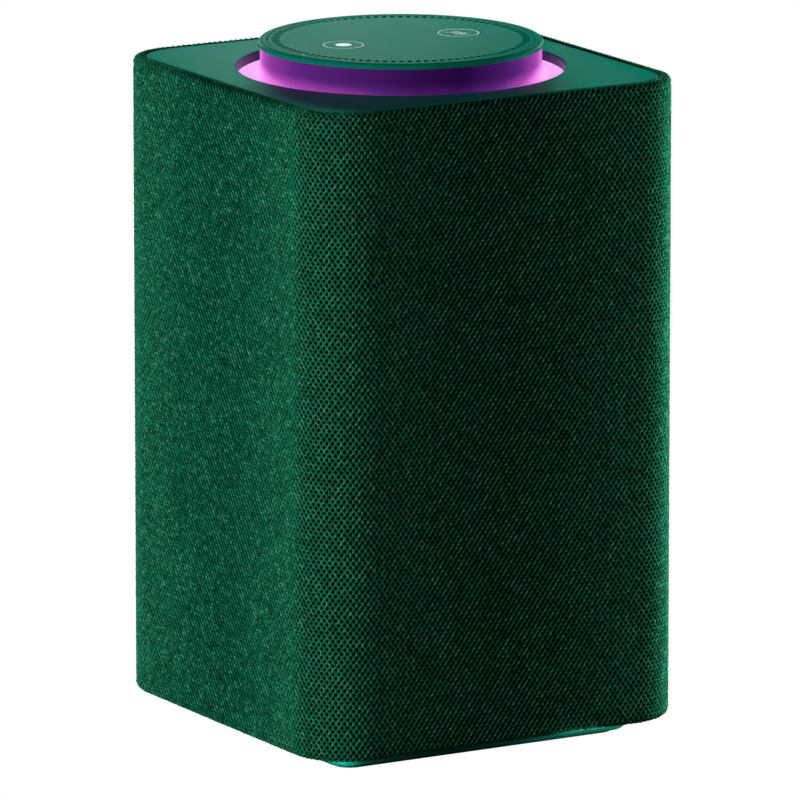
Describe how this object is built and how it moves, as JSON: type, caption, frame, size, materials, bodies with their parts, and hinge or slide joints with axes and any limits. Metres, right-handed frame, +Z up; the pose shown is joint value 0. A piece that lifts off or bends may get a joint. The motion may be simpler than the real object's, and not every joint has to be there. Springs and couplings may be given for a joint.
{
  "type": "smart speaker",
  "caption": "Square column smart speaker with a knitted sleeve, a lit round well in its top plate, and a turning volume ring around two press buttons.",
  "frame": {"origin": "centre of the rubber foot's underside", "axes": "+Z up along the column, -Y towards the front, where the woofer faces"},
  "size_m": [0.141, 0.141, 0.231],
  "materials": {
    "knit": "melange polyester knit",
    "green_plastic": "satin moulded, bead blasted",
    "rim_plastic": "satin with a soft bevel",
    "foot_rubber": "matte",
    "black_plastic": "fine moulded grain",
    "diffuser": "milky, lit from behind",
    "led_lens": "clear lens",
    "circuit_board": "green solder mask",
    "chip_black": "moulded epoxy",
    "can_steel": "tin plate",
    "heat_aluminium": "extruded, anodised clear",
    "thermal_silicone": "soft silicone",
    "ferrite": "sintered, ground faces",
    "yoke_steel": "zinc plated",
    "basket_plastic": "glass filled",
    "cone_paper": "pressed fibre",
    "surround_rubber": "matte",
    "coil_copper": "enamelled winding",
    "spider_cloth": "resin cloth",
    "dome_silk": "coated silk",
    "radiator_alloy": "painted grey",
    "gasket_foam": "closed cell foam",
    "mesh_black": "acoustic mesh",
    "acetal": "natural acetal",
    "screw_steel": "black zinc",
    "wire_red_black": "silicone insulation",
    "ribbon_white": "laminated film",
    "key_plastic": "satin moulded"
  },
  "bodies": {
    "housing": {"rubber_foot": "foot_rubber", "base_cover": "green_plastic", "cabinet": "black_plastic", "lid_gasket": "gasket_foam", "cabinet_lid": "black_plastic", "woofer_basket": "basket_plastic", "woofer_washer": "yoke_steel", "woofer_magnet": "ferrite", "woofer_yoke": "yoke_steel", "woofer_spider": "spider_cloth", "woofer_surround": "surround_rubber", "tweeter_body_left": "basket_plastic", "tweeter_body_right": "basket_plastic", "radiator_frame_left": "basket_plastic", "radiator_frame_right": "basket_plastic", "radiator_surround_left": "surround_rubber", "radiator_surround_right": "surround_rubber", "driver_screws": "screw_steel", "main_board": "circuit_board", "board_components": "chip_black", "shield_can": "can_steel", "thermal_pad": "thermal_silicone", "heat_sink": "heat_aluminium", "dc_jack": "chip_black", "video_socket": "can_steel", "rear_panel": "black_plastic", "board_screws": "screw_steel", "antennas": "circuit_board", "ribbon_cable": "ribbon_white", "speaker_leads": "wire_red_black", "grille_shell": "black_plastic", "knit_sleeve": "knit", "top_chassis": "black_plastic", "top_plate": "green_plastic", "led_board": "circuit_board", "leds": "led_lens", "light_diffuser": "diffuser", "control_hub": "black_plastic", "ring_bearing": "acetal", "encoder_body": "chip_black", "mic_board": "circuit_board", "microphones": "can_steel", "mic_gasket": "gasket_foam", "mic_mesh": "mesh_black", "control_plate": "rim_plastic", "button_switches": "chip_black", "case_screws": "screw_steel"},
    "volume_knob": {"volume_ring": "rim_plastic"},
    "encoder_wheel": {"encoder_pinion": "acetal"},
    "activate_key": {"activate_button": "key_plastic", "activate_plunger": "chip_black"},
    "mute_key": {"mute_button": "key_plastic", "mute_plunger": "chip_black"},
    "woofer_motion": {"woofer_cone": "cone_paper", "woofer_dust_cap": "cone_paper", "woofer_voice_coil": "coil_copper"},
    "tweeter_motion_left": {"tweeter_dome_left": "dome_silk"},
    "tweeter_motion_right": {"tweeter_dome_right": "dome_silk"},
    "radiator_motion_left": {"radiator_plate_left": "radiator_alloy"},
    "radiator_motion_right": {"radiator_plate_right": "radiator_alloy"}
  },
  "joints": [
    {"name": "volume_turn", "type": "hinge", "parent": "housing", "child": "volume_knob", "pos_m": [0, 0, 0.22], "axis": [0, 0, 1], "continuous": true},
    {"name": "encoder_spin", "type": "hinge", "parent": "housing", "child": "encoder_wheel", "pos_m": [0.0372, 0, 0.212], "axis": [0, 0, 1], "continuous": true},
    {"name": "activate_press", "type": "slide", "parent": "housing", "child": "activate_key", "axis": [0, 0, -1], "range_m": [0, 0.0004], "stiffness_N_per_m": 4000},
    {"name": "mute_press", "type": "slide", "parent": "housing", "child": "mute_key", "axis": [0, 0, -1], "range_m": [0, 0.0004], "stiffness_N_per_m": 4000},
    {"name": "woofer_travel", "type": "slide", "parent": "housing", "child": "woofer_motion", "axis": [0, -1, 0], "range_m": [-0.003, 0.003], "stiffness_N_per_m": 1600, "deforming": ["woofer_surround", "woofer_spider"]},
    {"name": "tweeter_travel_left", "type": "slide", "parent": "housing", "child": "tweeter_motion_left", "axis": [0, -1, 0], "range_m": [-0.00025, 0.00025], "stiffness_N_per_m": 600},
    {"name": "tweeter_travel_right", "type": "slide", "parent": "housing", "child": "tweeter_motion_right", "axis": [0, -1, 0], "range_m": [-0.00025, 0.00025], "stiffness_N_per_m": 600},
    {"name": "radiator_travel_left", "type": "slide", "parent": "housing", "child": "radiator_motion_left", "axis": [-1, 0, 0], "range_m": [-0.0035, 0.0035], "stiffness_N_per_m": 1200, "deforming": ["radiator_surround_left"]},
    {"name": "radiator_travel_right", "type": "slide", "parent": "housing", "child": "radiator_motion_right", "axis": [1, 0, 0], "range_m": [-0.0035, 0.0035], "stiffness_N_per_m": 1200, "deforming": ["radiator_surround_right"]}
  ],
  "couplings": [
    {"joint": "encoder_spin", "follows": "volume_turn", "ratio": 7.2}
  ]
}
